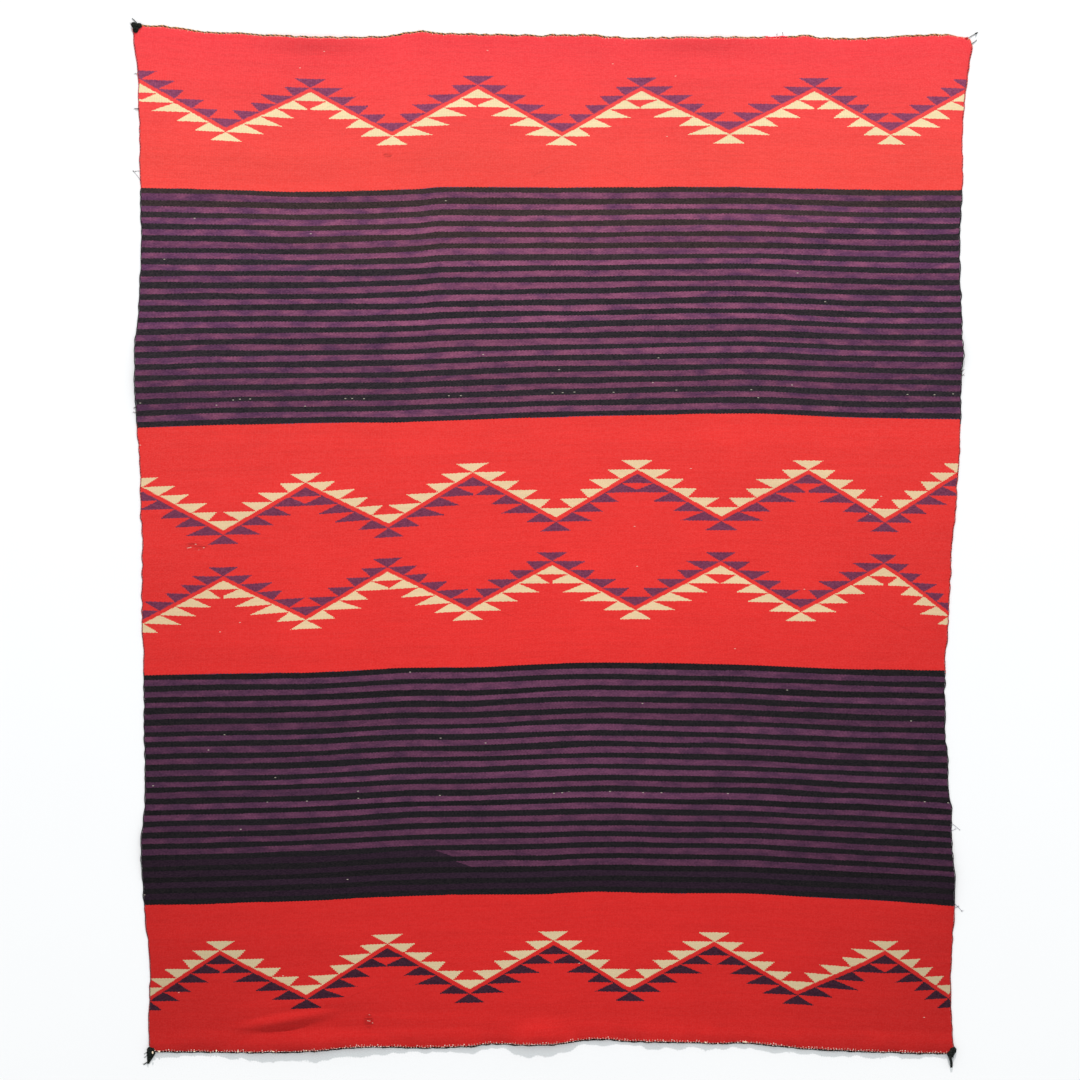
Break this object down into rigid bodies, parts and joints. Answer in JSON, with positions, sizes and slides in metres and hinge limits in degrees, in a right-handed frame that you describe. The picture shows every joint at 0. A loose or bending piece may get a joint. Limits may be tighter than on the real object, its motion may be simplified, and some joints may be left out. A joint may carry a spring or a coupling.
{
  "type": "wool serape laid flat",
  "caption": "Tapestry-woven wool serape with striped and zigzag bands, laid flat, with cords along its edges and knotted yarn tassels at its corners.",
  "frame": {"origin": "middle of the piece seen from above, on the surface that it lies on", "axes": "+X across the cloth to the right, +Y up its length towards the top edge, +Z off the surface, out of the face"},
  "size_m": [1.4082, 1.747, 0.0107],
  "materials": {
    "serape_wool": "matt weft-faced wool, red with dark and cream patterning",
    "cord_wool": "matt twined wool cord, dark brown",
    "knot_wool": "matt wool yarn, black"
  },
  "bodies": {
    "root": {"web": "serape_wool", "end_cord_top": "cord_wool", "end_cord_bottom": "cord_wool", "side_cord_left": "cord_wool", "side_cord_right": "cord_wool", "corner_tassel_top_left": "knot_wool", "corner_tassel_top_right": "knot_wool", "corner_tassel_bottom_left": "knot_wool", "corner_tassel_bottom_right": "knot_wool"}
  },
  "joints": []
}
